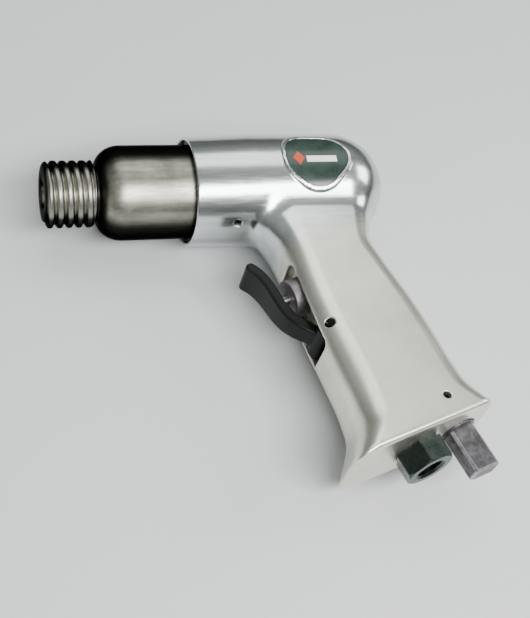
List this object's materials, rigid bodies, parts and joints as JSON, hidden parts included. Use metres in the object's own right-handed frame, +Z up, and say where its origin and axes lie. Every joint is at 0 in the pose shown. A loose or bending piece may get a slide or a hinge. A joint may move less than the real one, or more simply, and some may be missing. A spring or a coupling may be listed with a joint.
{
  "type": "pneumatic air hammer",
  "caption": "Pistol-grip pneumatic air hammer lying on its side: threaded nose, black cylinder, cast aluminium body, lever trigger, hexagonal air inlet and regulator key under the grip.",
  "frame": {"origin": "centre of the nose face, where the chisel shank enters", "axes": "+X back along the barrel axis, +Y from the grip to the top of the barrel, +Z up, out of the tool's left side"},
  "size_m": [0.1604, 0.1691, 0.0492],
  "materials": {
    "cast_polished": "polished barrel, satin grip",
    "black_steel": "blackened, worn bright on the crests",
    "hard_steel": "ground",
    "spring_steel": "oiled",
    "zinc": "grey zinc",
    "black_plastic": "satin",
    "badge_plate": "gloss",
    "rubber": "matte",
    "brass": "sintered"
  },
  "bodies": {
    "body": {"housing": "cast_polished", "cylinder": "black_steel", "exhaust_deflector": "black_plastic", "lock_screw": "black_steel", "badge": "badge_plate", "cylinder_o_ring": "rubber", "valve_seat": "hard_steel", "valve_cap": "hard_steel", "valve_dowel": "hard_steel", "valve_gasket": "rubber", "trigger_pin": "spring_steel", "throttle_bush": "zinc", "stem_o_ring": "rubber", "bush_o_ring": "rubber", "throttle_spring": "spring_steel", "inlet_bushing": "black_steel", "inlet_gasket": "rubber", "inlet_screen": "brass", "regulator_pin": "spring_steel"},
    "piston": {"piston": "hard_steel"},
    "valve": {"valve_disc": "hard_steel"},
    "trigger": {"trigger": "black_plastic"},
    "throttle": {"throttle_stem": "hard_steel", "poppet_washer": "rubber"},
    "regulator": {"regulator": "zinc", "regulator_o_ring": "rubber"}
  },
  "joints": [
    {"name": "piston_slide", "type": "slide", "parent": "body", "child": "piston", "axis": [-1, 0, 0], "range_m": [0, 0.04]},
    {"name": "valve_slide", "type": "slide", "parent": "body", "child": "valve", "axis": [1, 0, 0], "range_m": [0, 0.0013]},
    {"name": "trigger_pull", "type": "hinge", "parent": "body", "child": "trigger", "pos_m": [0.10258, -0.07857, 0], "axis": [0, 0, -1], "range_deg": [0, 7], "stiffness_Nm_per_rad": 1.2, "springref_deg": -6.88},
    {"name": "throttle_slide", "type": "slide", "parent": "body", "child": "throttle", "axis": [0.9613, 0.2756, 0], "range_m": [0, 0.00289], "deforming": ["throttle_spring"]},
    {"name": "regulator_turn", "type": "hinge", "parent": "body", "child": "regulator", "pos_m": [0.14591, -0.11504, 0], "axis": [0.2756, -0.9613, 0], "range_deg": [-90, 90]}
  ],
  "couplings": [
    {"joint": "throttle_slide", "follows": "trigger_pull", "m_per_rad": 0.022}
  ]
}
